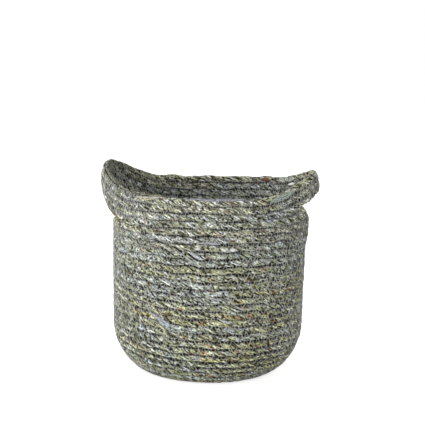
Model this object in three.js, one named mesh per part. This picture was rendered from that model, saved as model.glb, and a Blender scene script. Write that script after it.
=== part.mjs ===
// Basket planter: one thick rope wound in a spiral and sewn row to row.
// The rope starts in the middle of the base, runs round the heel and up the wall, and ends in a band
// of rows that leaves the wall at two places to make the raised handles.
// Lengths are in millimetres. +Z is up, the handles stand on the X axis, and the origin is on the
// floor under the middle of the basket.
import * as THREE from "three";

// Body of the basket, measured over the rope
const RIM_DIAMETER = 201;
const RIM_HEIGHT = 194;
const HEEL_DIAMETER = 197;
const HEEL_HEIGHT = 56;
const BASE_DIAMETER = 101;
const EYE_DIAMETER = 0.8;

// Rope
const ROPE_THICKNESS = 7.2;
const ROPE_TAIL_THICKNESS = 2.6;
const ROPE_END_THICKNESS = 1.6;
const ROPE_END_LENGTH = 28;
const ROW_PITCH = 7.35;
const ROW_CLEARANCE = 0.5;
const CUT_CLEARANCE = 0.3;
const ROPE_COLOUR = "#98998b";
const ROPE_ROUGHNESS = 0.92;

// Rim and handles. A handle's curl is the angle from one of its rows to the next.
const BAND_ROWS = 4;
const LEFT_HANDLE_CHORD = 150;
const LEFT_HANDLE_RISE = 23;
const LEFT_HANDLE_REACH = 14.7;
const LEFT_HANDLE_LEAN_DEGREES = -7;
const LEFT_HANDLE_CURL_DEGREES = 13;
const LEFT_HANDLE_SKEW = 0.14;
const RIGHT_HANDLE_CHORD = 156;
const RIGHT_HANDLE_RISE = 20;
const RIGHT_HANDLE_REACH = 11.5;
const RIGHT_HANDLE_LEAN_DEGREES = 11;
const RIGHT_HANDLE_CURL_DEGREES = 11;
const RIGHT_HANDLE_SKEW = 0;
const TAIL_START_SHARE = 0.58;

// Facets
const STEPS_PER_LOOP = 18;
const STEPS_PER_HANDLE_ROW = 12;
const STEPS_PER_RIM_ROW = 5;
const STEPS_IN_SHOULDER_ROW = 14;
const STEPS_IN_ROPE_END = 3;

// Places that follow from the sizes above. Radii and heights are those of the rope's centre line.
const TURN = 2 * Math.PI;
const rowHeight = ROW_PITCH - ROW_CLEARANCE;
const floorZ = ROPE_THICKNESS / 2;
const eyeRadius = (EYE_DIAMETER + ROPE_END_THICKNESS) / 2;
const baseRadius = BASE_DIAMETER / 2;
const heelRadius = (HEEL_DIAMETER - ROPE_THICKNESS) / 2;
const rimRadius = (RIM_DIAMETER - ROPE_THICKNESS) / 2;
const leftRootY = LEFT_HANDLE_CHORD / 2;
const rightRootY = RIGHT_HANDLE_CHORD / 2;
const leftRootAngle = Math.asin(leftRootY / rimRadius);
const rightRootAngle = Math.asin(rightRootY / rimRadius);

// The band starts at the back root of the left handle and climbs one row in each turn. RIM_HEIGHT is
// the height of the rim's top edge halfway round from its lowest place to its highest. The right
// handle takes the top rows only, and the shoulder row below it stays on the wall.
const bandAzimuth = Math.PI - leftRootAngle;
const leftEnd = (2 * leftRootAngle) / TURN;
const rightStart = (TURN - rightRootAngle - bandAzimuth) / TURN;
const rightEnd = (TURN + rightRootAngle - bandAzimuth) / TURN;
const bandZ = RIM_HEIGHT - ROW_PITCH * (BAND_ROWS - 0.5 + (leftEnd + 1) / 2);

// Half section of the basket, from the eye of the base to the start of the band
const baseLine = new THREE.LineCurve(
  new THREE.Vector2(eyeRadius, floorZ),
  new THREE.Vector2(baseRadius, floorZ),
);
const heelArc = new THREE.EllipseCurve(
  baseRadius, HEEL_HEIGHT, heelRadius - baseRadius, HEEL_HEIGHT - floorZ, -Math.PI / 2, 0,
);
const wallLine = new THREE.LineCurve(
  new THREE.Vector2(heelRadius, HEEL_HEIGHT),
  new THREE.Vector2(rimRadius, bandZ),
);
const profile = new THREE.CurvePath();
profile.add(baseLine);
profile.add(heelArc);
profile.add(wallLine);
const [baseEnd, heelEnd, wallEnd] = profile.getCurveLengths();

// Cross-section of the rope as shares of its height across the rows and its thickness through the
// wall. Its ridges face the neighbouring rows, and its flats face outwards and inwards.
const SECTION = [[0.5, 0], [0.25, 0.5], [-0.25, 0.5], [-0.5, 0], [-0.25, -0.5], [0.25, -0.5]];

// One ring of corners round the rope's centre line. slope is the direction from this row to the next
// one, in the half plane through the basket's axis, and place turns radius and height into a point.
// The floor presses the rope flat where it stands.
function sectionRing({ radius, z, slope, height, thickness }, place) {
  return SECTION.map(([across, through]) => {
    const up = across * height;
    const out = through * thickness;
    const cornerRadius = radius + up * Math.cos(slope) + out * Math.sin(slope);
    const cornerZ = z + up * Math.sin(slope) - out * Math.cos(slope);
    return place(cornerRadius, Math.max(cornerZ, 0));
  });
}

// A ring square to the winding, at an azimuth
function atAzimuth(azimuth) {
  return (radius, z) => new THREE.Vector3(radius * Math.cos(azimuth), radius * Math.sin(azimuth), z);
}

// A ring on a cut across the basket at y, so that a handle can swing about a line along Y
function onCut(side, y) {
  return (radius, z) => new THREE.Vector3(side * Math.sqrt(radius ** 2 - y ** 2), y, z);
}

// Closed tube through rings of corners, with a flat cap on each end
function tubeGeometry(rings) {
  const corners = SECTION.length;
  const last = (rings.length - 1) * corners;
  const index = [];
  for (let start = 0; start < last; start += corners) {
    for (let corner = 0; corner < corners; corner += 1) {
      const here = start + corner;
      const next = start + (corner + 1) % corners;
      index.push(here, next, next + corners);
      index.push(here, next + corners, here + corners);
    }
  }
  for (let corner = 1; corner < corners - 1; corner += 1) {
    index.push(0, corner + 1, corner);
    index.push(last, last + corner, last + corner + 1);
  }
  const geometry = new THREE.BufferGeometry().setFromPoints(rings.flat());
  geometry.setIndex(index);
  geometry.computeVertexNormals();
  return geometry;
}

function ropeMesh(name, rings) {
  const material = new THREE.MeshStandardMaterial({
    color: ROPE_COLOUR,
    roughness: ROPE_ROUGHNESS,
    metalness: 0,
  });
  const mesh = new THREE.Mesh(tubeGeometry(rings), material);
  mesh.name = name;
  return mesh;
}

// Least distance between the corners of a coil's neighbouring loops
function leastGap(rings) {
  let least = Infinity;
  rings.forEach((ring, place) => {
    const nextLoop = rings.slice(place + STEPS_PER_LOOP / 2, place + 1.5 * STEPS_PER_LOOP).flat();
    for (const corner of ring) {
      for (const other of nextLoop) {
        least = Math.min(least, corner.distanceTo(other));
      }
    }
  });
  return least;
}

// The rope at a length along the half section, where it moves on by one row in each turn. Its thin
// start is curled round the eye of the base.
function coilStation(length) {
  const share = length / wallEnd;
  const middle = profile.getPoint(share);
  const tangent = profile.getTangent(share);
  return {
    radius: middle.x,
    z: middle.y,
    slope: Math.atan2(tangent.y, tangent.x),
    height: Math.min(rowHeight, 2 * middle.x - EYE_DIAMETER),
    thickness: ROPE_THICKNESS,
  };
}

function coilAzimuth(length) {
  return bandAzimuth - (TURN * (wallEnd - length)) / ROW_PITCH;
}

function coilLength(azimuth) {
  return wallEnd - (ROW_PITCH * (bandAzimuth - azimuth)) / TURN;
}

// The loops of the coil have their corners on the same azimuths, so that they stay one clearance
// apart. The coil is cut at the corner nearest to a length for the same reason.
const CORNER_STEP = TURN / STEPS_PER_LOOP;

function nearestCorner(length) {
  return coilLength(Math.round(coilAzimuth(length) / CORNER_STEP) * CORNER_STEP);
}

// Rings of one run of the coil, which keeps half a cut clear of the places where it starts and ends
function coilRings(fromLength, toLength) {
  const from = coilAzimuth(fromLength) + CUT_CLEARANCE / 2 / coilStation(fromLength).radius;
  const to = coilAzimuth(toLength) - CUT_CLEARANCE / 2 / coilStation(toLength).radius;
  const azimuths = [from];
  const firstCorner = Math.floor(from / CORNER_STEP + 1.25);
  for (let corner = firstCorner; corner * CORNER_STEP < to - CORNER_STEP / 4; corner += 1) {
    azimuths.push(corner * CORNER_STEP);
  }
  azimuths.push(to);
  return azimuths.map((azimuth) => sectionRing(coilStation(coilLength(azimuth)), atAzimuth(azimuth)));
}

// The forms that the band takes. Between its roots a handle rises from the wall, reaches out from it,
// leans and curls its top edge in, all by the same smooth swell. A skew moves the top of the swell
// towards the handle's start. middleLevel is the level of the handle's middle, in rows above the first.
const rim = { middleLevel: 0, azimuth: 0, rootAngle: Math.PI, rise: 0, reach: 0, lean: 0, curl: 0, skew: 0 };
const leftHandle = {
  middleLevel: (BAND_ROWS - 1) / 2,
  azimuth: Math.PI,
  rootAngle: leftRootAngle,
  rise: LEFT_HANDLE_RISE,
  reach: LEFT_HANDLE_REACH,
  lean: THREE.MathUtils.degToRad(LEFT_HANDLE_LEAN_DEGREES),
  curl: THREE.MathUtils.degToRad(LEFT_HANDLE_CURL_DEGREES),
  skew: LEFT_HANDLE_SKEW,
};
const rightHandle = {
  middleLevel: BAND_ROWS / 2,
  azimuth: TURN,
  rootAngle: rightRootAngle,
  rise: RIGHT_HANDLE_RISE,
  reach: RIGHT_HANDLE_REACH,
  lean: THREE.MathUtils.degToRad(RIGHT_HANDLE_LEAN_DEGREES),
  curl: THREE.MathUtils.degToRad(RIGHT_HANDLE_CURL_DEGREES),
  skew: RIGHT_HANDLE_SKEW,
};

// The rope in the band at a level, in rows above the first, and a share of a turn from the start
function bandStation(form, level, turn) {
  const alongHandle = (bandAzimuth + turn * TURN - form.azimuth) / form.rootAngle;
  const skewed = alongHandle + form.skew * (1 - alongHandle ** 2);
  const swell = 0.5 + 0.5 * Math.cos(Math.PI * skewed);
  const rows = level - form.middleLevel;
  const lean = form.lean * swell;
  const curl = form.curl * swell * rows;
  const lift = rows * ROW_PITCH;
  const middleZ = bandZ + ROW_PITCH * (form.middleLevel + turn) + form.rise * swell;
  return {
    radius: rimRadius + form.reach * swell - lift * Math.sin(lean + curl / 2),
    z: middleZ + lift * Math.cos(lean + curl / 2),
    slope: Math.PI / 2 + lean + curl,
    height: rowHeight,
    thickness: ROPE_THICKNESS,
  };
}

// The rope's thin end, which lies on the top row. share is its size as a share of the full rope.
function thinStation(form, share, turn) {
  const station = bandStation(form, BAND_ROWS - 0.5 + share / 2, turn);
  station.height *= share;
  station.thickness *= share;
  return station;
}

// The band's runs in the order of winding, with the side and the y of the cut at each end, and the
// levels of the rows that they hold
const leftHandleCut = leftRootY - CUT_CLEARANCE / 2;
const leftRimCut = leftRootY + CUT_CLEARANCE / 2;
const rightHandleCut = rightRootY - CUT_CLEARANCE / 2;
const rightRimCut = rightRootY + CUT_CLEARANCE / 2;
const bandRuns = [
  {
    name: "left_handle_row_", form: leftHandle, levels: [0, 1, 2, 3],
    from: 0, to: leftEnd, steps: STEPS_PER_HANDLE_ROW,
    start: onCut(-1, leftHandleCut), end: onCut(-1, -leftHandleCut),
  },
  {
    name: "shoulder_row_", form: rim, levels: [0],
    from: leftEnd, to: 1, steps: STEPS_IN_SHOULDER_ROW,
    start: onCut(-1, -leftRimCut), end: onCut(-1, leftRimCut),
  },
  {
    name: "front_rim_row_", form: rim, levels: [1, 2, 3],
    from: leftEnd, to: rightStart, steps: STEPS_PER_RIM_ROW,
    start: onCut(-1, -leftRimCut), end: onCut(1, -rightRimCut),
  },
  {
    name: "right_handle_row_", form: rightHandle, levels: [1, 2, 3],
    from: rightStart, to: rightEnd, steps: STEPS_PER_HANDLE_ROW,
    start: onCut(1, -rightHandleCut), end: onCut(1, rightHandleCut),
  },
  {
    name: "back_rim_row_", form: rim, levels: [1, 2, 3],
    from: rightEnd, to: 1, steps: STEPS_PER_RIM_ROW,
    start: onCut(1, rightRimCut), end: onCut(-1, leftRimCut),
  },
];

// Rings along a run of the band, from the stations that it has at shares of its length
function runRings({ from, to, steps, start, end }, stationAt) {
  const rings = [];
  for (let step = 0; step <= steps; step += 1) {
    const turn = THREE.MathUtils.lerp(from, to, step / steps);
    let place = atAzimuth(bandAzimuth + turn * TURN);
    if (step === 0) {
      place = start;
    }
    if (step === steps && end) {
      place = end;
    }
    rings.push(sectionRing(stationAt(turn, step / steps), place));
  }
  return rings;
}

// Over the left handle the rope thins out from its full size to its tail, and the tail ends on the
// front rim just past the handle
function thinRowRings() {
  return runRings(bandRuns[0], (turn, along) => {
    const thinned = Math.min(along / TAIL_START_SHARE, 1);
    const thickness = THREE.MathUtils.lerp(ROPE_THICKNESS, ROPE_TAIL_THICKNESS, thinned);
    return thinStation(leftHandle, thickness / ROPE_THICKNESS, turn);
  });
}

function ropeEndRings() {
  const to = leftEnd + ROPE_END_LENGTH / (TURN * rimRadius);
  const run = { from: leftEnd, to, steps: STEPS_IN_ROPE_END, start: onCut(-1, -leftRimCut) };
  return runRings(run, (turn, along) => {
    const thickness = THREE.MathUtils.lerp(ROPE_TAIL_THICKNESS, ROPE_END_THICKNESS, along);
    return thinStation(rim, thickness / ROPE_THICKNESS, turn);
  });
}

const baseCut = nearestCorner(baseEnd);
const heelCut = nearestCorner(heelEnd);
const wallRings = coilRings(heelCut, wallEnd);
wallRings[wallRings.length - 1] = sectionRing(coilStation(wallEnd), onCut(-1, leftRimCut));
const coils = {
  base_coil: coilRings(0, baseCut),
  heel_coil: coilRings(baseCut, heelCut),
  wall_coil: wallRings,
};

const basket = new THREE.Group();
for (const [name, rings] of Object.entries(coils)) {
  basket.add(ropeMesh(name, rings));
  console.log(`${name}: least gap between its loops ${leastGap(rings).toFixed(2)} mm`);
}
for (const run of bandRuns) {
  run.levels.forEach((level, count) => {
    const rings = runRings(run, (turn) => bandStation(run.form, level, turn));
    basket.add(ropeMesh(`${run.name}${count + 1}`, rings));
  });
}
basket.add(ropeMesh("left_handle_row_5", thinRowRings()));
basket.add(ropeMesh("rope_end", ropeEndRings()));

export default basket;
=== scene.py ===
"""Coiled grass-rope basket planter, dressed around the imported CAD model.

The rope is made as real twisted leaf strands along the same winding as the CAD solids, and the sewing
thread as a zigzag across each pair of rows, outside and inside. Lengths are in metres.
"""
import math

import bpy
import numpy as np
from mathutils import Matrix, Vector


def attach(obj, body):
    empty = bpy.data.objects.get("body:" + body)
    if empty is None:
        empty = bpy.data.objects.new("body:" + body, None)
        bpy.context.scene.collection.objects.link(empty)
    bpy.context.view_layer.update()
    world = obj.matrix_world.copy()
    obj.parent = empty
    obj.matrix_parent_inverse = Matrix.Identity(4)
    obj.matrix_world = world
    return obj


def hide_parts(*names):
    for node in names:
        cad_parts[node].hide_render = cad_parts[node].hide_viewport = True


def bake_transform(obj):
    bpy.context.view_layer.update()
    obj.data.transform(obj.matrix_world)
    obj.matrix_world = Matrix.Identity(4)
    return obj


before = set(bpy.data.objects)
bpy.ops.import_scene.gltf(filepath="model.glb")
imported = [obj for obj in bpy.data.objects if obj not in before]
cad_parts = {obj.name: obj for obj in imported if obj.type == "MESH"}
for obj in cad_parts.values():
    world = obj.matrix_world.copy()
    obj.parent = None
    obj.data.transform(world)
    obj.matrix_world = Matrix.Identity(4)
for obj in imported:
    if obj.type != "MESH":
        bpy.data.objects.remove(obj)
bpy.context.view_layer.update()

# Body of the basket, measured over the rope, as in the CAD model
RIM_DIAMETER = 0.201
RIM_HEIGHT = 0.194
HEEL_DIAMETER = 0.197
HEEL_HEIGHT = 0.056
BASE_DIAMETER = 0.101
EYE_DIAMETER = 0.0008
ROPE_THICKNESS = 0.0072
ROPE_TAIL_THICKNESS = 0.0026
ROPE_END_THICKNESS = 0.0016
ROPE_END_LENGTH = 0.028
ROW_PITCH = 0.00735

# Rim and handles, as in the CAD model. A handle's levels are its rows, counted from the band's first,
# and its front is the sign of the leg that is nearer to the camera.
BAND_ROWS = 4
LEFT_CHORD = 0.150
RIGHT_CHORD = 0.156
TAIL_START_SHARE = 0.58
LEFT_HANDLE = {
    "azimuth": math.pi, "middle": 1.5, "lowest": 0, "rise": 0.023, "reach": 0.0147,
    "lean": math.radians(-7), "curl": math.radians(13), "skew": 0.14, "droop": 0.0025, "front": 1,
}
RIGHT_HANDLE = {
    "azimuth": math.tau, "middle": 2.0, "lowest": 1, "rise": 0.020, "reach": 0.0115,
    "lean": math.radians(11), "curl": math.radians(11), "skew": 0.0, "droop": 0.0015, "front": -1,
}

# Lay of the rope
STRANDS = 10
LAY_LENGTH = 0.042
STRAND_WIDTH = 0.0021
STRAND_THICKNESS = 0.0014
STRAND_SIDES = 5
STRAND_STEP = 0.0020
OPEN_SQUARENESS = 2.4
CLOSED_SQUARENESS = 3.6

# Sewing
STITCH_LENGTH = 0.0064
FINE_STITCH_LENGTH = 0.0050
CLOSE_STITCH_LENGTH = 0.0036
STITCH_REACH = 0.0034
THREAD_DIAMETER = 0.0008
THREAD_SIDES = 4
STITCH_STEPS = 4

# Points along each part of the half section, and along the whole winding
SECTION_STEPS = 400
WINDING_STEPS = 40000

# Places that follow from the sizes above, on the rope's centre line
EYE_RADIUS = (EYE_DIAMETER + ROPE_END_THICKNESS) / 2
BASE_RADIUS = BASE_DIAMETER / 2
HEEL_RADIUS = (HEEL_DIAMETER - ROPE_THICKNESS) / 2
RIM_RADIUS = (RIM_DIAMETER - ROPE_THICKNESS) / 2
FLOOR_ROW_Z = ROPE_THICKNESS / 2
LEFT_HANDLE["root"] = math.asin(LEFT_CHORD / 2 / RIM_RADIUS)
RIGHT_HANDLE["root"] = math.asin(RIGHT_CHORD / 2 / RIM_RADIUS)
LEFT_ROOT_X = -math.sqrt(RIM_RADIUS ** 2 - (LEFT_CHORD / 2) ** 2)
RIGHT_ROOT_X = math.sqrt(RIM_RADIUS ** 2 - (RIGHT_CHORD / 2) ** 2)
BAND_AZIMUTH = math.pi - LEFT_HANDLE["root"]
LEFT_END = 2 * LEFT_HANDLE["root"] / math.tau
RIGHT_START = (math.tau - RIGHT_HANDLE["root"] - BAND_AZIMUTH) / math.tau
RIGHT_END = (math.tau + RIGHT_HANDLE["root"] - BAND_AZIMUTH) / math.tau
BAND_Z = RIM_HEIGHT - ROW_PITCH * (BAND_ROWS - 0.5 + (LEFT_END + 1) / 2)


def half_section():
    """Length, radius, height and slope along the half section, from the eye of the base to the band."""
    fine = SECTION_STEPS
    base = np.column_stack([np.linspace(EYE_RADIUS, BASE_RADIUS, fine), np.full(fine, FLOOR_ROW_Z)])
    angle = np.linspace(-math.pi / 2, 0, fine)
    heel = np.column_stack([
        BASE_RADIUS + (HEEL_RADIUS - BASE_RADIUS) * np.cos(angle),
        HEEL_HEIGHT + (HEEL_HEIGHT - FLOOR_ROW_Z) * np.sin(angle),
    ])
    wall = np.column_stack([
        np.linspace(HEEL_RADIUS, RIM_RADIUS, fine),
        np.linspace(HEEL_HEIGHT, BAND_Z, fine),
    ])
    points = np.concatenate([base, heel[1:], wall[1:]])
    steps = np.linalg.norm(np.diff(points, axis=0), axis=1)
    length = np.concatenate([[0], np.cumsum(steps)])
    ahead = np.gradient(points, length, axis=0)
    slope = np.arctan2(ahead[:, 1], ahead[:, 0])
    corners = length[[fine - 1, 2 * fine - 2, 3 * fine - 3]]
    return length, points[:, 0], points[:, 1], slope, corners


SECTION_LENGTH, SECTION_RADIUS, SECTION_Z, SECTION_SLOPE, (BASE_END, HEEL_END, WALL_END) = half_section()

# A place on the rope is given in turns from the start of the band: negative along the coil, and the
# level plus the share of a turn along the band.
ROPE_START = -WALL_END / ROW_PITCH
HEEL_START = (BASE_END - WALL_END) / ROW_PITCH
WALL_START = (HEEL_END - WALL_END) / ROW_PITCH
ROPE_END = BAND_ROWS + LEFT_END + ROPE_END_LENGTH / (math.tau * RIM_RADIUS)

# Runs of the rope from one place to another, as the CAD model cuts it
UPPER_LEVELS = (1, 2, 3)
LEFT_RUNS = [(level, level + LEFT_END) for level in range(BAND_ROWS + 1)]
RIGHT_RUNS = [(level + RIGHT_START, level + RIGHT_END) for level in UPPER_LEVELS]
FRONT_RUNS = [(level + LEFT_END, level + RIGHT_START) for level in UPPER_LEVELS]
BACK_RUNS = [(level + RIGHT_END, level + 1) for level in UPPER_LEVELS]
TAIL_RUN = (BAND_ROWS + LEFT_END, ROPE_END)
SHOULDER_RUN = (LEFT_END, 1)

# The heel and the wall are split into several meshes, which keeps the faces of each one few
HEEL_MESHES = 2
WALL_MESHES = 4
HEEL_BREAKS = np.linspace(HEEL_START, WALL_START, HEEL_MESHES + 1)
WALL_BREAKS = np.linspace(WALL_START, 0, WALL_MESHES + 1)
MIDDLE_WALL = WALL_BREAKS[WALL_MESHES // 2]

# Where the sewing starts, where its finer stitches start, and in how many turns the looks of the wall
# go over into those of the heel
SEWING_START = ROPE_START + 1.2
FINE_START = -3
HEEL_FADE = 3

# Each handle's body, and the x of its two roots
LEFT = ("left_handle", LEFT_ROOT_X)
RIGHT = ("right_handle", RIGHT_ROOT_X)


def smooth(share):
    """Soft step from 0 to 1 as the share goes from 0 to 1."""
    share = np.clip(share, 0, 1)
    return share * share * (3 - 2 * share)


def from_direction(azimuth, middle):
    """Angle from a direction, between minus and plus half a turn."""
    return np.remainder(azimuth - middle + math.pi, math.tau) - math.pi


def bell(azimuth, middle, width):
    """1 in a direction, and falling off to both sides. The direction and the half width are in degrees."""
    away = np.degrees(from_direction(azimuth, math.radians(middle)))
    return np.exp(-(away / width) ** 2)


def heel_share(turns):
    """How far down the heel a place on the rope is: 0 on the wall and 1 on the heel."""
    return smooth((WALL_START - turns) / HEEL_FADE)


def thin_share(turns):
    """Size of the rope as a share of full: thin at its start in the eye and at its end on the rim."""
    over_handle = (turns - BAND_ROWS) / LEFT_END / TAIL_START_SHARE
    tail = (turns - BAND_ROWS - LEFT_END) * math.tau * RIM_RADIUS / ROPE_END_LENGTH
    on_handle = np.interp(over_handle, [0, 1], [ROPE_THICKNESS, ROPE_TAIL_THICKNESS])
    on_rim = np.interp(tail, [0, 1], [ROPE_TAIL_THICKNESS, ROPE_END_THICKNESS])
    thickness = np.where(tail > 0, on_rim, on_handle)
    radius = np.interp(WALL_END + turns * ROW_PITCH, SECTION_LENGTH, SECTION_RADIUS)
    start = np.clip((2 * radius - EYE_DIAMETER) / ROW_PITCH, 0, 1)
    return np.minimum(thickness / ROPE_THICKNESS, start)


# Lean of the rows, which lie higher on the left: waves in a turn, height, azimuth of the top in degrees.
# The lean comes in along the half section and goes out again below the band.
ROW_LEAN = [(1, 0.0055, 195), (2, 0.0015, 190), (3, 0.0008, 195)]
LEAN_PLACES = [0.012, 0.085, WALL_END - 0.050, WALL_END - ROW_PITCH]

# Lift of the rows below the left handle: height, azimuth and half width in degrees
ROW_LIFT = 0.0045
LIFT_AZIMUTH = 185
LIFT_WIDTH = 28


def row_lean(azimuth, length):
    """How far up the half section the rows lie from their even place."""
    lean = sum(height * np.cos(waves * (azimuth - math.radians(top))) for waves, height, top in ROW_LEAN)
    lean = lean + ROW_LIFT * bell(azimuth, LIFT_AZIMUTH, LIFT_WIDTH)
    return lean * np.interp(length, LEAN_PLACES, [0, 1, 1, 0])


# Where a handle's droop comes in and goes out along its front leg, as shares of the leg from the middle
DROOP_START = 0.05
DROOP_START_FADE = 0.35
DROOP_END = 0.95
DROOP_END_FADE = 0.3


def rope_frame(turns):
    """Azimuth, radius, height and slope of the rope's centre line."""
    azimuth = BAND_AZIMUTH + math.tau * turns
    length = WALL_END + turns * ROW_PITCH
    length = length + row_lean(azimuth, length)
    band = turns >= 0
    radius = np.where(band, RIM_RADIUS, np.interp(length, SECTION_LENGTH, SECTION_RADIUS))
    slope = np.where(band, math.pi / 2, np.interp(length, SECTION_LENGTH, SECTION_SLOPE))
    level = np.floor(turns)
    turn = turns - level
    level = np.where(turns >= BAND_ROWS, BAND_ROWS - 0.5 + thin_share(turns) / 2, level)
    z = np.where(band, BAND_Z + ROW_PITCH * (level + turn), np.interp(length, SECTION_LENGTH, SECTION_Z))
    for handle in (LEFT_HANDLE, RIGHT_HANDLE):
        along = np.clip(from_direction(azimuth, handle["azimuth"]) / handle["root"], -1, 1)
        inside = band & (np.abs(along) < 1) & (level >= handle["lowest"])
        swell = 0.5 + 0.5 * np.cos(math.pi * (along + handle["skew"] * (1 - along ** 2)))
        rows = level - handle["middle"]
        lean = handle["lean"] * swell
        curl = handle["curl"] * swell * rows
        middle_z = BAND_Z + ROW_PITCH * (handle["middle"] + turn) + handle["rise"] * swell
        handle_radius = RIM_RADIUS + handle["reach"] * swell - rows * ROW_PITCH * np.sin(lean + curl / 2)
        leg = along * handle["front"]
        sag = handle["droop"] * smooth((DROOP_END - leg) / DROOP_END_FADE)
        sag = sag * smooth((leg - DROOP_START) / DROOP_START_FADE)
        sag = sag * np.clip((BAND_ROWS - 1 - level) / (BAND_ROWS - 1 - handle["lowest"]), 0, 1)
        radius = np.where(inside, handle_radius, radius)
        z = np.where(inside, middle_z + rows * ROW_PITCH * np.cos(lean + curl / 2) - sag, z)
        slope = np.where(inside, math.pi / 2 + lean + curl, slope)
    return azimuth, radius, z, slope


# Rises and dips of the rim: azimuth and half width in degrees, and height. They come in up the wall.
RIM_RISES = [(50, 22, 0.0036), (113, 9, -0.0017), (169, 5, 0.0020)]
RISE_START = 0.11
RISE_FADE = 0.07

# Waves of the hand-wound rows: share of the height, waves in a turn, phase, and phase per metre up. They
# come in above the base, and the lower ones go out again below the rim.
WAVE_HEIGHT = 0.0004
WAVE_START = 0.02
WAVE_FADE = 0.03
WAVES = [
    (1.0, 3, 1.3, 31), (0.8, 7, 2.1, -47), (0.8, 17, 0.4, 83),
    (0.6, 29, 0.0, -110), (0.5, 11, 0.0, 310), (0.4, 5, 0.8, -370),
]
LOWER_WAVES = [(1.1, 14, 0.9, -61), (0.7, 23, 0.0, 70)]
LOWER_WAVES_TOP = 0.145
LOWER_WAVES_FADE = 0.025

# Swelling of the wall below the right handle: depth, half width in radians, and the heights between
# which it lies
BULGE_DEPTH = 0.0024
BULGE_WIDTH = 0.6
BULGE_BOTTOM = 0.135
BULGE_BOTTOM_FADE = 0.015
BULGE_TOP = 0.170
BULGE_TOP_FADE = 0.008

# Least height of a strand's middle over the floor
FLOOR_CLEARANCE = 0.0008


def sum_of_waves(waves, azimuth, z):
    """Sum of a list of waves at places on the basket."""
    return sum(share * np.sin(count * azimuth + phase + climb * z) for share, count, phase, climb in waves)


def unevenness(azimuth, z):
    """How far the hand-wound rows lie above or below their even place."""
    below_rim = 1 - smooth((z - LOWER_WAVES_TOP) / LOWER_WAVES_FADE)
    waves = sum_of_waves(WAVES, azimuth, z) + below_rim * sum_of_waves(LOWER_WAVES, azimuth, z)
    rise = WAVE_HEIGHT * waves * smooth((z - WAVE_START) / WAVE_FADE)
    for middle, width, height in RIM_RISES:
        rise = rise + height * bell(azimuth, middle, width) * smooth((z - RISE_START) / RISE_FADE)
    return rise


def shoulder_bulge(azimuth, z):
    """How far the wall swells out below the right handle."""
    across = np.exp(-(from_direction(azimuth, 0) / BULGE_WIDTH) ** 2)
    above = smooth((z - BULGE_BOTTOM) / BULGE_BOTTOM_FADE)
    below = smooth((BULGE_TOP - z) / BULGE_TOP_FADE)
    return BULGE_DEPTH * across * above * below


def rope_points(turns, up, out):
    """Points beside the rope's centre line: up towards the next row, out from the basket."""
    azimuth, radius, z, slope = rope_frame(turns)
    height = z + up * np.sin(slope) - out * np.cos(slope)
    r = radius + up * np.cos(slope) + out * np.sin(slope) + shoulder_bulge(azimuth, height)
    height = np.maximum(height + unevenness(azimuth, height), FLOOR_CLEARANCE)
    return np.stack([r * np.cos(azimuth), r * np.sin(azimuth), height], axis=-1)


# Length of rope at fine steps of the winding
FINE_TURNS = np.linspace(ROPE_START, ROPE_END, WINDING_STEPS)
FINE_POINTS = rope_points(FINE_TURNS, 0.0, 0.0)
FINE_LENGTH = np.concatenate([[0], np.cumsum(np.linalg.norm(np.diff(FINE_POINTS, axis=0), axis=1))])

# Least length that a vector is divided by
LEAST_LENGTH = 1e-9


def turns_at(length):
    """Places in turns at lengths along the rope."""
    return np.interp(length, FINE_LENGTH, FINE_TURNS)


def length_at(turns):
    """Lengths along the rope at places in turns."""
    return np.interp(turns, FINE_TURNS, FINE_LENGTH)


def unit(vectors):
    """The same directions at a length of one."""
    return vectors / np.maximum(np.linalg.norm(vectors, axis=-1, keepdims=True), LEAST_LENGTH)


# Texture map, in cells: the margin of a column, and the middle and radius of a cap in its cell
COLUMN_MARGIN = 0.5
CAP_MIDDLE = 0.5
CAP_RADIUS = 0.45


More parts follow.
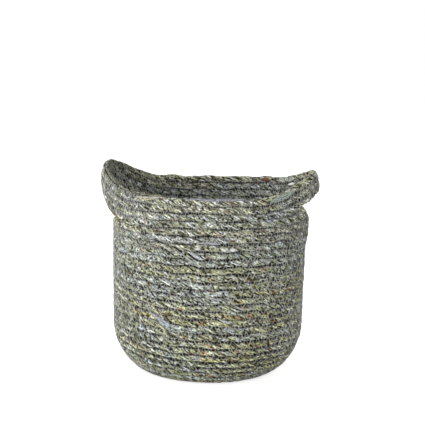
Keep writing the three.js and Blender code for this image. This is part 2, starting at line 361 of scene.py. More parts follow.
class Tubes:
    """Many closed tubes gathered for one mesh, with a tint and strand coordinates at each point."""

    def __init__(self, sides):
        self.sides = sides
        self.points = []
        self.tints = []
        self.coords = []
        self.counts = []

    def add(self, centre, outward, half_width, half_thickness, tint, along, leaf):
        """A tube along centre, whose flat side faces outward."""
        ahead = unit(np.gradient(centre, axis=0))
        across = unit(np.cross(ahead, outward))
        outward = np.cross(across, ahead)
        angle = (np.arange(self.sides) + 0.5) * math.tau / self.sides
        side = np.cos(angle)[None, :, None] * (across * half_width[:, None])[:, None, :]
        lift = np.sin(angle)[None, :, None] * (outward * half_thickness[:, None])[:, None, :]
        points = centre[:, None, :] + side + lift
        points[..., 2] = np.maximum(points[..., 2], 0)
        self.points.append(points.reshape(-1, 3))
        self.tints.append(np.repeat(tint, self.sides, axis=0))
        around = np.tile(np.arange(self.sides) / self.sides, len(centre))
        coords = [np.repeat(along, self.sides), around, np.repeat(leaf, self.sides)]
        self.coords.append(np.column_stack(coords))
        self.counts.append(len(centre))

    def mesh(self, name):
        """One mesh of all the tubes, with their ends capped."""
        sides = self.sides
        quads = []
        caps = []
        first = 0
        ring = np.arange(sides)
        following = (ring + 1) % sides
        for count in self.counts:
            rows = first + sides * np.arange(count - 1)[:, None]
            corners = [rows + ring, rows + following, rows + sides + following, rows + sides + ring]
            quads.append(np.stack(corners, -1).reshape(-1, 4))
            caps.append(first + ring[::-1])
            caps.append(first + sides * (count - 1) + ring)
            first += sides * count
        quads = np.concatenate(quads)
        caps = np.concatenate(caps)
        loops = np.concatenate([quads.ravel(), caps])
        starts = np.concatenate([
            4 * np.arange(len(quads)),
            4 * len(quads) + sides * np.arange(len(caps) // sides),
        ])
        mesh = bpy.data.meshes.new(name)
        points = np.concatenate(self.points)
        mesh.vertices.add(len(points))
        mesh.vertices.foreach_set("co", points.astype(np.float32).ravel())
        mesh.loops.add(len(loops))
        mesh.loops.foreach_set("vertex_index", loops.astype(np.int32))
        mesh.polygons.add(len(starts))
        mesh.polygons.foreach_set("loop_start", starts.astype(np.int32))
        mesh.polygons.foreach_set("use_smooth", np.ones(len(starts), bool))
        tint = mesh.attributes.new("tint", "FLOAT_VECTOR", "POINT")
        tint.data.foreach_set("vector", np.concatenate(self.tints).astype(np.float32).ravel())
        strand = mesh.attributes.new("strand", "FLOAT_VECTOR", "POINT")
        strand.data.foreach_set("vector", np.concatenate(self.coords).astype(np.float32).ravel())
        mesh.update(calc_edges=True)
        self.map_strips(mesh, len(quads), len(caps) // sides)
        return mesh

    def map_strips(self, mesh, quads, caps):
        """A texture map in which each ring of a tube is one line of cells, and the lines fill columns."""
        sides = self.sides
        lines = quads // sides + math.ceil(caps / sides)
        columns = max(round(math.sqrt(lines / (sides + 1))), 1)
        rows = math.ceil(lines / columns)
        cell = np.arange(quads + caps)
        line, place = cell // sides, cell % sides
        across = (line // rows) * (sides + 1) + place + COLUMN_MARGIN
        corner = np.stack([across, line % rows], -1).astype(float)
        square = np.array([(0, 0), (1, 0), (1, 1), (0, 1)], float)
        angle = np.arange(sides) * math.tau / sides
        disc = CAP_MIDDLE + CAP_RADIUS * np.stack([np.cos(angle), np.sin(angle)], -1)
        quad_places = (corner[:quads, None, :] + square[None]).reshape(-1, 2)
        cap_places = (corner[quads:, None, :] + disc[None]).reshape(-1, 2)
        places = np.concatenate([quad_places, cap_places]) / (columns * (sides + 1), rows)
        layer = mesh.uv_layers.new(name="OFBake")
        layer.data.foreach_set("uv", places.astype(np.float32).ravel())

    def piece(self, name):
        """A new object of the scene with the mesh of all the tubes."""
        piece = bpy.data.objects.new(name, self.mesh(name))
        bpy.context.scene.collection.objects.link(piece)
        return piece


def wave_noise(rng, length, share, wavelength):
    """Noise along a length, between minus and plus the share."""
    knots = np.arange(length[0] - 2 * wavelength, length[-1] + 3 * wavelength, wavelength)
    return share * np.interp(length, knots, rng.uniform(-1, 1, len(knots)))


# Leaf colours, linear, and how often each comes up in plain, pale, straw and brown stretches of the rope.
# They are cream, olive, pale green, silver, dark and brown.
LEAVES = np.array([
    (0.495, 0.50, 0.335),
    (0.365, 0.40, 0.205),
    (0.56, 0.59, 0.49),
    (0.52, 0.56, 0.55),
    (0.13, 0.125, 0.06),
    (0.35, 0.24, 0.13),
])
PLAIN_SHARES = np.array([0.25, 0.25, 0.25, 0.06, 0.145, 0.045])
PALE_SHARES = np.array([0.09, 0.11, 0.42, 0.26, 0.11, 0.01])
STRAW_SHARES = np.array([0.46, 0.20, 0.12, 0.02, 0.15, 0.05])
BROWN_SHARES = np.array([0.20, 0.36, 0.07, 0.01, 0.18, 0.18])

# Colours of the rope's heart, near black as painted shade, and of the thread, and how much painted shade
# darkens the inside of the basket
CORE_SHADE_TINT = np.array([(0.014, 0.013, 0.007)])
THREAD_TINT = np.array([(0.41, 0.41, 0.395)])
# Painted shade: the inner side of the rope and the inside thread are darkened by this share
INSIDE_SHADE_SHARE = 0.85

# Least and greatest length and brightness of a leaf
LEAF_LENGTH = (0.002, 0.008)
LEAF_VALUE = (0.60, 1.25)

# Stretches of the rope, in turns, where pale, straw or brown leaves were laid in
PALE_STRETCHES = [
    (-22.0, -21.3), (-19.4, -18.9), (-17.7, -17.6), (-16.3, -16.0), (-14.55, -14.44), (-13.66, -13.52),
    (-11.4, -11.1), (-9.70, -9.56), (-8.80, -8.56), (-7.72, -7.58), (-6.2, -5.8), (-4.84, -4.40),
    (-2.3, -2.05), (-1.70, -1.56), (1.46, 1.56), (2.75, 2.9),
]
STRAW_STRETCHES = [(-11.66, -11.57), (-5.72, -5.5), (-3.1, -2.8), (-0.70, -0.52), (2.30, 2.53)]
BROWN_STRETCHES = [(-11.57, -11.49)]

# Slow change of hue along the rope, the warmth of the pale, straw and brown stretches, and the hue of the
# upper rows
WARM_KNOTS = 200
WARM_RUNS = np.random.default_rng(13).uniform(-1, 1, WARM_KNOTS)
WARM_WAVELENGTH = 0.09
WARM_SHIFT = np.array([0.12, 0.06, -0.11])
STRETCH_WARMTH = [-0.3, 0.2, 0.3]
UPPER_SHIFT = np.array([0.05, 0.06, 0.11])

# How grey the leaves are on the upper rows, and on the left as seen, by azimuth and half width in degrees
UPPER_GREYNESS = 0.28
LEFT_GREYNESS = 0.22
GREY_AZIMUTH = 195
GREY_WIDTH = 35

# Open seams between rows, shown as dashes of painted shade, at even steps of a turn, and how much more open
# and shaded they are on the heel
SEAM_TURNS = 45
SEAM_STEPS = 70
SEAM_SPREAD = (-0.9, 2.2)
SEAM_GAP_SHADE = np.random.default_rng(12).uniform(*SEAM_SPREAD, SEAM_TURNS * SEAM_STEPS).clip(0, 1)
HEEL_SEAM_GAP_SHADE = 0.4


def seam_gap_shade(turns):
    """How far the seam below the rope opens, and how much painted shade lies in it, at places in turns. The
    slits and the top edge have no seam.
    """
    dark = np.interp((turns - ROPE_START) * SEAM_STEPS, np.arange(len(SEAM_GAP_SHADE)), SEAM_GAP_SHADE)
    dark = np.clip(dark + HEEL_SEAM_GAP_SHADE * heel_share(turns), 0, 1)
    slit = (turns > 0) & (turns < LEFT_END) | (turns > 1 + RIGHT_START) & (turns < 1 + RIGHT_END)
    return np.where(slit | (turns > ROPE_END), 0, dark)


def laid_in(length, stretches):
    """Whether each place along the rope is in one of the stretches."""
    inside = np.zeros(len(length), bool)
    for start, end in stretches:
        inside |= (length > length_at(start)) & (length < length_at(end))
    return inside


def leaf_tints(rng, length):
    """Tint for each place along a strand, changing where one leaf follows another."""
    ends = np.cumsum(rng.uniform(*LEAF_LENGTH, int((length[-1] - length[0]) / LEAF_LENGTH[0]) + 4))
    leaf = np.searchsorted(ends, length - length[0])
    pick = rng.random(len(ends) + 1)[leaf]
    value = rng.uniform(*LEAF_VALUE, len(ends) + 1)[leaf]
    pale = laid_in(length, PALE_STRETCHES)
    straw = laid_in(length, STRAW_STRETCHES)
    brown = laid_in(length, BROWN_STRETCHES)
    kinds = [np.searchsorted(np.cumsum(shares), pick) for shares in (PALE_SHARES, STRAW_SHARES, BROWN_SHARES)]
    plain = np.searchsorted(np.cumsum(PLAIN_SHARES), pick)
    kind = np.select([pale, straw, brown], kinds, plain).clip(0, len(LEAVES) - 1)
    warm = np.interp(length, WARM_WAVELENGTH * np.arange(len(WARM_RUNS)), WARM_RUNS)
    warm = np.select([pale, straw, brown], STRETCH_WARMTH, warm)
    turns = turns_at(length)
    upper = smooth(turns - FINE_START + 1)
    left = bell(BAND_AZIMUTH + math.tau * turns, GREY_AZIMUTH, GREY_WIDTH)
    grey = np.maximum(UPPER_GREYNESS * upper, LEFT_GREYNESS * left)[:, None]
    tint = LEAVES[kind] * value[:, None] * (1 + warm[:, None] * WARM_SHIFT + upper[:, None] * UPPER_SHIFT)
    return tint * (1 - grey) + tint.mean(1, keepdims=True) * grey


def row_section(angle, up_reach, out_reach, squareness):
    """Place round the rope on a rounded square: up to the next row and out of the wall."""
    up, out = np.cos(angle), np.sin(angle)
    stretch = (np.abs(up) ** squareness + np.abs(out) ** squareness) ** (-1 / squareness)
    return up * stretch * up_reach, out * stretch * out_reach


# How far the strands reach towards the next row, what a dark seam takes from that, and how much further
# out the place lies that gives a strand's outward direction
CLOSED_REACH = 1.05
SEAM_GAP = 0.17
OUTWARD_REACH = 1.2

# Noise in the strands: share and wavelength
ANGLE_NOISE = (0.3, 0.012)
REACH_NOISE = (0.07, 0.009)
WIDTH_NOISE = (0.35, 0.012)
THICKNESS_NOISE = (0.3, 0.008)
PATCH_NOISE = (0.45, 0.005)
GROOVE_NOISE = (0.16, 0.005)

# Tints of the strands: darker at the thin ends of the rope, lighter on the heel, and darkened by painted
# shade in the grooves between rows, whose edge is a share of half a row
THIN_DARKNESS = 0.55
HEEL_LIGHTNESS = 0.2
GROOVE_EDGE = 0.60
HEEL_GROOVE = 0.10
GROOVE_FADE = 0.16
GROOVE_PAINTED_SHADE = 0.97


def add_strands(tubes, start, end, seed):
    """Twisted strands of one run of the rope, between two places in turns."""
    rng = np.random.default_rng(seed)
    first, last = length_at(start), length_at(end)
    length = np.linspace(first, last, max(int((last - first) / STRAND_STEP), 4) + 1)
    turns = turns_at(length)
    size = thin_share(turns)
    heel = heel_share(turns)
    dark_below, dark_above = seam_gap_shade(turns), seam_gap_shade(turns + 1)
    for strand in range(STRANDS):
        angle = math.tau * (length / LAY_LENGTH + strand / STRANDS) + wave_noise(rng, length, *ANGLE_NOISE)
        dark = np.where(np.cos(angle) < 0, dark_below, dark_above)
        squareness = OPEN_SQUARENESS * dark + CLOSED_SQUARENESS * (1 - dark)
        up_reach = (ROW_PITCH - STRAND_THICKNESS) / 2 * size * (CLOSED_REACH - SEAM_GAP * dark)
        out_share = 1 + wave_noise(rng, length, *REACH_NOISE)
        out_reach = (ROPE_THICKNESS - STRAND_THICKNESS) / 2 * size * out_share
        up, out = row_section(angle, up_reach, out_reach, squareness)
        centre = rope_points(turns, up, out)
        further = row_section(angle, up_reach * OUTWARD_REACH, out_reach * OUTWARD_REACH, squareness)
        outward = unit(rope_points(turns, *further) - centre)
        width = STRAND_WIDTH / 2 * size * (1 + wave_noise(rng, length, *WIDTH_NOISE))
        thickness = STRAND_THICKNESS / 2 * size * (1 + wave_noise(rng, length, *THICKNESS_NOISE))
        patchy = 1 - (1 - size) * (THIN_DARKNESS + wave_noise(rng, length, *PATCH_NOISE))
        tint = leaf_tints(rng, length) * (patchy * (1 + HEEL_LIGHTNESS * heel))[:, None]
        # Painted shade: each strand is darkened towards the groove where the seam beside it is open
        groove_edge = GROOVE_EDGE - HEEL_GROOVE * heel + wave_noise(rng, length, *GROOVE_NOISE)
        groove_shade = smooth((np.abs(up) / (ROW_PITCH / 2) - groove_edge) / GROOVE_FADE)
        tint = tint * (1 - GROOVE_PAINTED_SHADE * groove_shade * dark)[:, None]
        # Painted shade: the inner side of each strand is darkened
        tint = tint * np.where(out < 0, INSIDE_SHADE_SHARE, 1)[:, None]
        tubes.add(centre, outward, width, thickness, tint, length, np.full(len(length), rng.random()))


# Heart of the rope: step along it, how far it reaches into the row below, its half width with and
# without that, and its half thickness
CORE_STEP = 0.004
CORE_DROP = 0.0013
SEALED_HALF_WIDTH = 0.0046
CORE_HALF_WIDTH = 0.0031
CORE_HALF_THICKNESS = 0.0026
OUTWARD_STEP = 0.001


def add_core(tubes, start, end, sealed):
    """Heart of one run of the rope, near black as painted shade, seen only through the gaps between strands.

    It reaches into the row below, if there is one, so that no light comes through between the rows.
    """
    first, last = length_at(start), length_at(end)
    length = np.linspace(first, last, max(int((last - first) / CORE_STEP), 3) + 1)
    turns = turns_at(length)
    size = thin_share(turns)
    centre = rope_points(turns, -CORE_DROP if sealed else 0.0, 0.0)
    outward = unit(rope_points(turns, 0.0, OUTWARD_STEP) - rope_points(turns, 0.0, 0.0))
    tint = np.repeat(CORE_SHADE_TINT, len(length), axis=0)
    half_width = (SEALED_HALF_WIDTH if sealed else CORE_HALF_WIDTH) * size
    tubes.add(centre, outward, half_width, CORE_HALF_THICKNESS * size, tint, length, np.zeros(len(length)))


def rope_piece(name, runs, seed):
    """One piece of several runs of the rope. A handle's lowest row has no row below it."""
    tubes = Tubes(STRAND_SIDES)
    for count, (start, end) in enumerate(runs):
        add_strands(tubes, start, end, seed + count)
        add_core(tubes, start, end, (start, end) not in (LEFT_RUNS[0], RIGHT_RUNS[0]))
    return tubes.piece(name)


# Noise in the thread: how far a bend is off its even place, in half stitches, then shares and wavelengths
BEND_SPREAD = 0.25
SWING_NOISE = (0.2, 0.003)
SURFACE_NOISE = (0.35, 0.007)
THREAD_NOISE = (0.8, 0.0016)

# How the thread lies: over the rope in thread diameters, into the rope at the bends, and the two places
# out from the rope that give its outward direction
THREAD_LIFT = 0.1
BEND_DEPTH = 0.0006
BEND_START = 0.75
OUTWARD_PLACES = (0.004, 0.005)

# Thickness of the fine thread, what the heel takes from it, the painted shade on the thread over an open seam
# and its reach, and the thread's brightness
FINE_THREAD_SHARE = 0.75
HEEL_THINNING = 0.35
SEAM_SHADE = 0.25
SEAM_SHADE_REACH = 0.7
THREAD_VALUE = 1.1


def add_stitches(tubes, start, end, side, seed):
    """Zigzag thread across the joint between the rows from start to end and the rows below them."""
    rng = np.random.default_rng(seed)
    first, last = length_at(start), length_at(end)
    fine = side > 0 and start >= FINE_START
    stitch = FINE_STITCH_LENGTH if fine else STITCH_LENGTH
    if side > 0 and (start, end) in LEFT_RUNS:
        stitch = CLOSE_STITCH_LENGTH
    halves = max(int((last - first) / (stitch / 2)), 2)
    shifts = np.concatenate([[0], rng.uniform(-BEND_SPREAD, BEND_SPREAD, halves - 1), [0]])
    bends = np.arange(halves + 1) + shifts
    step = np.arange(halves * STITCH_STEPS + 1) / STITCH_STEPS
    length = first + np.interp(step, np.arange(halves + 1), bends) * (last - first) / halves
    turns = turns_at(length)
    swing = 2 * np.abs(np.remainder(step, 2) - 1) - 1
    up = swing * STITCH_REACH * (1 + wave_noise(rng, length, *SWING_NOISE))
    surface = ROPE_THICKNESS / 2 + THREAD_DIAMETER * (THREAD_LIFT + wave_noise(rng, length, *SURFACE_NOISE))
    out = side * (surface - BEND_DEPTH * smooth((np.abs(swing) - BEND_START) / (1 - BEND_START)))
    upper_size = thin_share(turns)
    above = rope_points(turns, -ROW_PITCH / 2 * upper_size + up * np.where(up > 0, upper_size, 1), out)
    below = rope_points(turns - 1, ROW_PITCH / 2 + up, out)
    blend = smooth((swing + 1) / 2)[:, None]
    centre = above * blend + below * (1 - blend)
    near, far = (rope_points(turns, -ROW_PITCH / 2, side * place) for place in OUTWARD_PLACES)
    thickness = FINE_THREAD_SHARE if fine else 1
    radius = THREAD_DIAMETER / 2 * (1 - HEEL_THINNING * heel_share(turns)) * thickness
    # Painted shade: the thread darkens where it crosses an open seam
    shade = 1 - SEAM_SHADE * seam_gap_shade(turns) * (1 - smooth(np.abs(swing) / SEAM_SHADE_REACH))
    tint = THREAD_TINT * (shade * (THREAD_VALUE + wave_noise(rng, length, *THREAD_NOISE)))[:, None]
    # Painted shade: the inside thread is darkened
    if side < 0:
        tint = tint * INSIDE_SHADE_SHARE
    tubes.add(centre, unit(far - near), radius, radius, tint, length, np.zeros(len(centre)))


def thread_piece(name, runs, sides, seed):
    """One piece of the thread along several runs, outside where a side is 1 and inside where it is -1."""
    tubes = Tubes(THREAD_SIDES)
    for count, (start, end) in enumerate(runs):
        for side in sides:
            add_stitches(tubes, start, end, side, seed + 2 * count + (side > 0))
    return tubes.piece(name)


# Leaf ends that lie loose on the outside, and near-black strips of painted shadow beside them: azimuth in
# degrees and height at both ends, width and tint
LOOSE_LEAVES_AND_SHADOWS = [
    (249, 0.1508, 242, 0.1553, 0.0030, (0.58, 0.60, 0.58)),
    # The near-black entries here and below are strips of painted shadow beside the leaves
    (241, 0.1530, 250, 0.1468, 0.0013, (0.02, 0.02, 0.02)),
    (254, 0.1478, 267, 0.1478, 0.0012, (0.02, 0.02, 0.02)),
    (270, 0.1500, 282, 0.1495, 0.0028, (0.34, 0.35, 0.38)),
    (259, 0.1408, 271, 0.1260, 0.0024, (0.36, 0.41, 0.37)),
    (256, 0.1455, 261, 0.1395, 0.0013, (0.02, 0.02, 0.02)),
    (264, 0.1412, 272, 0.1337, 0.0034, (0.56, 0.58, 0.61)),
    (262, 0.1400, 272, 0.1312, 0.0014, (0.02, 0.02, 0.02)),
    (250, 0.1420, 256, 0.1375, 0.0011, (0.02, 0.02, 0.02)),
    (239.5, 0.0782, 248, 0.0702, 0.0032, (0.37, 0.37, 0.41)),
    (243, 0.0748, 254.3, 0.0640, 0.0070, (0.32, 0.36, 0.38)),
    (309, 0.1715, 313, 0.1695, 0.0034, (0.33, 0.38, 0.43)),
    (248, 0.0782, 252.8, 0.0764, 0.0016, (0.17, 0.10, 0.05)),
    (258.2, 0.0843, 261.8, 0.0833, 0.0018, (0.42, 0.25, 0.13)),
    (281.8, 0.0753, 288.2, 0.0705, 0.0026, (0.56, 0.58, 0.58)),
    (287.5, 0.0833, 292.2, 0.0790, 0.0026, (0.46, 0.53, 0.50)),
    (292, 0.0870, 295.8, 0.0838, 0.0022, (0.48, 0.54, 0.50)),
    (307.8, 0.0918, 313.5, 0.0863, 0.0022, (0.46, 0.50, 0.44)),
    (274.2, 0.0970, 281.5, 0.0933, 0.0028, (0.46, 0.48, 0.48)),
]

# Leaves that lie along a row, by body: level, azimuth in degrees and place up at both ends, place out,
# width and tint
ROW_LEAVES = {
    "basket": [
        (3, 262, 0.0034, 301, 0.0034, 0.0022, 0.0044, (0.26, 0.26, 0.29)),
        (3, 233, 0.0030, 247, 0.0034, 0.0024, 0.0038, (0.36, 0.36, 0.30)),
        (3, 228, 0.0010, 239, 0.0040, 0.0034, 0.0017, (0.60, 0.57, 0.43)),
        (3, 232, 0.0000, 243, 0.0022, 0.0040, 0.0015, (0.55, 0.50, 0.32)),
        (3, 237, 0.0024, 249, 0.0040, 0.0030, 0.0016, (0.62, 0.60, 0.48)),
        (3, 51, 0.0002, 60, 0.0002, -0.0036, 0.0050, (0.16, 0.09, 0.05)),
    ],
    "left_handle": [
        (0, 203, -0.0030, 212, -0.0030, 0.0026, 0.0024, (0.42, 0.39, 0.26)),
    ],
    "right_handle": [
        (3, 312, -0.0006, 329, 0.0008, 0.0039, 0.0074, (0.30, 0.34, 0.30)),
        (2, 29, 0.0010, 35, 0.0010, -0.0042, 0.0038, (0.85, 0.86, 0.86)),
    ],
}


def wall_point(azimuth, height, out):
    """Point at a distance out from the middle of the rope in the wall."""
    share = np.clip((height - HEEL_HEIGHT) / (BAND_Z - HEEL_HEIGHT), 0, 1)
    r = HEEL_RADIUS + (RIM_RADIUS - HEEL_RADIUS) * share + out
    return np.stack([r * np.cos(azimuth), r * np.sin(azimuth), height], -1)


# Leaves: half thickness, points along a leaf, how many differ in their flecks, and a row leaf's fleck length
LEAF_HALF_THICKNESS = 0.0005
LOOSE_LEAF_STEPS = 13
ROW_LEAF_STEPS = 25
LEAF_KINDS = 7
ROW_LEAF_LENGTH = 0.06

# Outline of a leaf, in shares of its width and length: a loose one is narrow where it starts, widest in
# its second half and blunt at its tip, and one along a row is narrow at both ends. The middle of a loose
# leaf stands off the wall.
LEAF_START_WIDTH = 0.3
LEAF_WIDEST = 0.65
LEAF_TIP = 0.85
LEAF_TIP_CUT = 0.5
ROW_LEAF_END_WIDTH = 0.25
LEAF_LIFT = 0.0005
LEAF_OUTWARD = 0.1


def add_leaf(tubes, number, centre, outward, half_width, tint, along):
    """One flat leaf or strip of painted shadow, of a single tint."""
    steps = len(centre)
    thickness = np.full(steps, LEAF_HALF_THICKNESS)
    leaf = np.full(steps, number / LEAF_KINDS)
    tubes.add(centre, outward, half_width, thickness, np.repeat([tint], steps, 0), along, leaf)


def loose_leaves_and_shadows(name):
    """One piece of all the leaf ends that lie loose on the wall, with the strips of painted shadow beside
    them.
    """
    tubes = Tubes(STRAND_SIDES)
    share = np.linspace(0, 1, LOOSE_LEAF_STEPS)
    widening = LEAF_START_WIDTH + (1 - LEAF_START_WIDTH) * smooth(share / LEAF_WIDEST)
    tip = 1 - LEAF_TIP_CUT * smooth((share - LEAF_TIP) / (1 - LEAF_TIP))
    for number, (azimuth, height, end_azimuth, end_height, width, tint) in enumerate(LOOSE_LEAVES_AND_SHADOWS):
        angle = np.radians(azimuth + (end_azimuth - azimuth) * share)
        z = height + (end_height - height) * share
        centre = wall_point(angle, z, ROPE_THICKNESS / 2 + LEAF_LIFT * np.sin(math.pi * share))
        outward = unit(wall_point(angle, z, LEAF_OUTWARD) - wall_point(angle, z, 0.0))
        length = share * np.linalg.norm(centre[-1] - centre[0])
        add_leaf(tubes, number, centre, outward, width / 2 * widening * tip, tint, length)
    return tubes.piece(name)


def row_leaves(name, body):
    """One piece of the leaves that lie along the rows of a body."""
    tubes = Tubes(STRAND_SIDES)
    share = np.linspace(0, 1, ROW_LEAF_STEPS)
    outline = ROW_LEAF_END_WIDTH + (1 - ROW_LEAF_END_WIDTH) * np.sin(math.pi * share)
    for number, (level, azimuth, up, end_azimuth, end_up, out, width, tint) in enumerate(ROW_LEAVES[body]):
        angle = np.radians(azimuth + (end_azimuth - azimuth) * share)
        turns = level + np.remainder(angle - BAND_AZIMUTH, math.tau) / math.tau
        centre = rope_points(turns, up + (end_up - up) * share, out)
        outward = unit(centre - rope_points(turns, 0.0, 0.0))
        add_leaf(tubes, number, centre, outward, width / 2 * outline, tint, ROW_LEAF_LENGTH * share)
    return tubes.piece(name)


# Looks of the leaves and the thread. Flecks: how fine they are along a strand, round it and from strand
# to strand, how dark the darkest and how bright the rest is, and the range of noise between the two.
GRASS_ROUGHNESS = 0.8
GRASS_SPECULAR = 0.25
THREAD_ROUGHNESS = 0.7
# The flecks are partly the leaves' own tone and partly painted shade of the gaps and curves between blades,
# with painted sheen at their bright end
ROPE_FLECKS = (420, 6, 50)
ROPE_DARKEST = 0.04
LEAF_FLECKS = (300, 16, 50)
LEAF_DARKEST = 0.5
FLECK_BRIGHTEST = 1.65
FLECK_RANGE = (0.45, 0.51)
FLECK_DETAIL = 1.5


def new_material(name, roughness):
    """A material with its nodes, its links and its shader."""
    material = bpy.data.materials.new(name)
    material.use_nodes = True
    nodes, links = material.node_tree.nodes, material.node_tree.links
    shader = nodes["Principled BSDF"]
    shader.inputs["Roughness"].default_value = roughness
    return material, nodes, links, shader


def attribute_node(nodes, name):
    """A node that reads one of a mesh's attributes."""
    node = nodes.new("ShaderNodeAttribute")
    node.attribute_name = name
    return node


def grass_material(name, fleck_scale, darkest):
    """Dried leaf, with dark flecks drawn out along it, partly its own tone and partly painted shade, with
    painted sheen where they are brightest.
    """
    material, nodes, links, shader = new_material(name, GRASS_ROUGHNESS)
    shader.inputs["Specular IOR Level"].default_value = GRASS_SPECULAR
    tint = attribute_node(nodes, "tint")
    strand = attribute_node(nodes, "strand")
    stretch = nodes.new("ShaderNodeVectorMath")
    stretch.operation = "MULTIPLY"
    stretch.inputs[1].default_value = fleck_scale
    links.new(strand.outputs["Vector"], stretch.inputs[0])
    noise = nodes.new("ShaderNodeTexNoise")
    noise.inputs["Scale"].default_value = 1.0
    noise.inputs["Detail"].default_value = FLECK_DETAIL
    links.new(stretch.outputs["Vector"], noise.inputs["Vector"])
    level = nodes.new("ShaderNodeMapRange")
    level.inputs["From Min"].default_value = FLECK_RANGE[0]
    level.inputs["From Max"].default_value = FLECK_RANGE[1]
    level.inputs["To Min"].default_value = darkest
    level.inputs["To Max"].default_value = FLECK_BRIGHTEST
    links.new(noise.outputs["Fac"], level.inputs["Value"])
    colour = nodes.new("ShaderNodeVectorMath")
    colour.operation = "SCALE"
    links.new(tint.outputs["Vector"], colour.inputs[0])
    links.new(level.outputs["Result"], colour.inputs["Scale"])
    links.new(colour.outputs["Vector"], shader.inputs["Base Color"])
    return material


def thread_material():
    """Plain grey thread."""
    material, nodes, links, shader = new_material("sewing_thread", THREAD_ROUGHNESS)
    tint = attribute_node(nodes, "tint")
    links.new(tint.outputs["Vector"], shader.inputs["Base Color"])
    return material


GRASS = grass_material("grass_rope", ROPE_FLECKS, ROPE_DARKEST)
LEAF = grass_material("smooth_leaf", LEAF_FLECKS, LEAF_DARKEST)
THREAD = thread_material()


def dress(piece, material, nodes=(), handle=None):
    """Material and slot of a piece, and the basket's body for a piece that is not a handle's. A handle's
    piece has its placement baked into its mesh.
    """
    piece.data.materials.append(material)
    if handle is None:
        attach(piece, "basket")
    else:
        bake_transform(piece)
    if nodes:
        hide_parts(*nodes)


def rows(name, runs):
    """Names of the CAD nodes of several runs."""
    return [f"{name}_row_{row}" for row in range(1, len(runs) + 1)]


FRONT_NODES = rows("front_rim", FRONT_RUNS) + ["rope_end"]
BACK_NODES = rows("back_rim", BACK_RUNS)
LEFT_NODES = rows("left_handle", LEFT_RUNS)
RIGHT_NODES = rows("right_handle", RIGHT_RUNS)

dress(rope_piece("base_rope", [(ROPE_START, HEEL_START)], seed=1), GRASS, ["base_coil"])
for number, run in enumerate(zip(HEEL_BREAKS, HEEL_BREAKS[1:]), 1):
    dress(rope_piece(f"heel_rope_{number}", [run], seed=50 + number), GRASS, ["heel_coil"])
for number, run in enumerate(zip(WALL_BREAKS, WALL_BREAKS[1:]), 1):
    dress(rope_piece(f"wall_rope_{number}", [run], seed=60 + number), GRASS, ["wall_coil"])
dress(rope_piece("shoulder_rope", [SHOULDER_RUN], seed=70), GRASS, ["shoulder_row_1"])
dress(rope_piece("front_rim_rope", FRONT_RUNS + [TAIL_RUN], seed=10), GRASS, FRONT_NODES)
dress(loose_leaves_and_shadows("wall_leaves_and_shadows"), LEAF)
dress(row_leaves("rim_leaves", "basket"), LEAF)
dress(row_leaves("left_handle_leaves", "left_handle"), LEAF, handle=LEFT)
dress(row_leaves("right_handle_leaves", "right_handle"), LEAF, handle=RIGHT)
dress(rope_piece("back_rim_rope", BACK_RUNS, seed=20), GRASS, BACK_NODES)
dress(rope_piece("left_handle_rope", LEFT_RUNS, seed=30), GRASS, LEFT_NODES, LEFT)
dress(rope_piece("right_handle_rope", RIGHT_RUNS, seed=40), GRASS, RIGHT_NODES, RIGHT)

LOWER_SEAMS = [(SEWING_START, MIDDLE_WALL)]
WALL_SEAMS = [(MIDDLE_WALL, FINE_START), (FINE_START, 0), SHOULDER_RUN]
UPPER_SEAMS = WALL_SEAMS + FRONT_RUNS + BACK_RUNS + [TAIL_RUN]
for label, side in (("outer", 1), ("inner", -1)):
    dress(thread_piece(f"{label}_lower_thread", LOWER_SEAMS, [side], seed=100 + side), THREAD)
    dress(thread_piece(f"{label}_upper_thread", UPPER_SEAMS, [side], seed=120 + side), THREAD)
dress(thread_piece("left_handle_thread", LEFT_RUNS[1:], [1, -1], seed=200), THREAD, handle=LEFT)
dress(thread_piece("right_handle_thread", RIGHT_RUNS[1:], [1, -1], seed=220), THREAD, handle=RIGHT)

# Camera at the photograph's view, in the photograph's pixels where named so
PHOTO_SIDE = 425
FOCAL_PIXELS = 1300
TARGET_PIXEL = (208.6, 276.0)
CAMERA_TARGET = Vector((0, 0, 0.09975))
CAMERA_DISTANCE = 1.365
CAMERA_AZIMUTH = math.radians(6)
CAMERA_ELEVATION = math.radians(10.33)
CAMERA_ROLL = math.radians(1.2)
SENSOR = 36


def make_camera():
    """Camera that sees the target at its pixel of the photograph."""
    azimuth, elevation = CAMERA_AZIMUTH, CAMERA_ELEVATION
    level = math.cos(elevation)
    back = Vector((math.sin(azimuth) * level, -math.cos(azimuth) * level, math.sin(elevation)))
    right = Vector((math.cos(azimuth), math.sin(azimuth), 0))
    aimed = Matrix((right, back.cross(right), back)).transposed() @ Matrix.Rotation(CAMERA_ROLL, 3, "Z")
    seen_x = (TARGET_PIXEL[0] - PHOTO_SIDE / 2) / FOCAL_PIXELS
    seen_y = (PHOTO_SIDE / 2 - TARGET_PIXEL[1]) / FOCAL_PIXELS
    turn = Vector((seen_x, seen_y, -1)).rotation_difference(Vector((0, 0, -1))).to_matrix()
    data = bpy.data.cameras.new("photo_camera")
    data.sensor_width = SENSOR
    data.lens = FOCAL_PIXELS / PHOTO_SIDE * SENSOR
    camera = bpy.data.objects.new("photo_camera", data)
    place = (aimed @ turn).to_4x4()
    place.translation = CAMERA_TARGET + back * CAMERA_DISTANCE
    camera.matrix_world = place
    bpy.context.scene.collection.objects.link(camera)
    bpy.context.scene.camera = camera


# Floor: half its side, its grey, its roughness, and how much it glows where the camera sees it
FLOOR_HALF = 6.0
FLOOR_COLOUR = (0.8, 0.8, 0.8, 1)
FLOOR_ROUGHNESS = 0.9
FLOOR_GLOW = 0.8


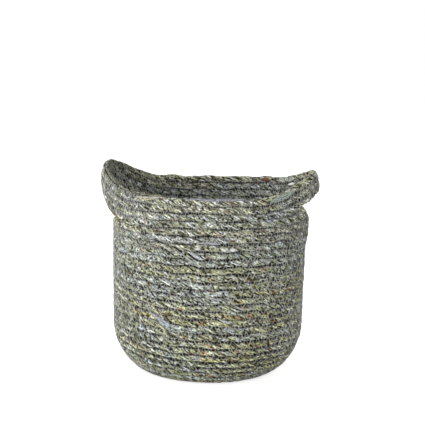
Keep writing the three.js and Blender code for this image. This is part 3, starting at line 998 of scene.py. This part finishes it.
def make_floor():
    """Plain pale floor, which looks white to the camera."""
    half = FLOOR_HALF
    corners = [(-half, -half, 0), (half, -half, 0), (half, half, 0), (-half, half, 0)]
    mesh = bpy.data.meshes.new("floor")
    mesh.from_pydata(corners, [], [(0, 1, 2, 3)])
    floor = bpy.data.objects.new("floor", mesh)
    bpy.context.scene.collection.objects.link(floor)
    material, nodes, links, shader = new_material("pale_floor", FLOOR_ROUGHNESS)
    shader.inputs["Base Color"].default_value = FLOOR_COLOUR
    shader.inputs["Specular IOR Level"].default_value = 0.0
    path = nodes.new("ShaderNodeLightPath")
    strength = nodes.new("ShaderNodeMath")
    strength.operation = "MULTIPLY"
    strength.inputs[1].default_value = FLOOR_GLOW
    glow = nodes.new("ShaderNodeEmission")
    both = nodes.new("ShaderNodeAddShader")
    links.new(path.outputs["Is Camera Ray"], strength.inputs[0])
    links.new(strength.outputs["Value"], glow.inputs["Strength"])
    links.new(shader.outputs["BSDF"], both.inputs[0])
    links.new(glow.outputs["Emission"], both.inputs[1])
    links.new(both.outputs["Shader"], nodes["Material Output"].inputs["Surface"])
    mesh.materials.append(material)


# Lights: name, place, size and power. The white world is dimmer as a light than where the camera sees it.
LIGHTS = [
    ("key", (-1.5, -1.3, 0.7), 1.2, 13),
    ("fill", (-0.3, -1.8, 0.5), 1.0, 7),
]
WORLD_COLOUR = (1, 1, 1, 1)
WORLD_LIGHT = 0.63
WORLD_SEEN = 1.0


def make_lights():
    """White world and soft lights, aimed at the basket."""
    world = bpy.data.worlds.new("studio")
    bpy.context.scene.world = world
    world.use_nodes = True
    nodes, links = world.node_tree.nodes, world.node_tree.links
    path = nodes.new("ShaderNodeLightPath")
    strength = nodes.new("ShaderNodeMapRange")
    strength.inputs["To Min"].default_value = WORLD_LIGHT
    strength.inputs["To Max"].default_value = WORLD_SEEN
    links.new(path.outputs["Is Camera Ray"], strength.inputs["Value"])
    background = nodes["Background"]
    background.inputs["Color"].default_value = WORLD_COLOUR
    links.new(strength.outputs["Result"], background.inputs["Strength"])
    for name, place, size, power in LIGHTS:
        data = bpy.data.lights.new(name, "AREA")
        data.size = size
        data.energy = power
        light = bpy.data.objects.new(name, data)
        light.location = place
        aim = CAMERA_TARGET - Vector(place)
        light.rotation_euler = aim.to_track_quat("-Z", "Y").to_euler()
        bpy.context.scene.collection.objects.link(light)


make_camera()
make_floor()
make_lights()
bpy.context.scene.view_settings.view_transform = "Standard"
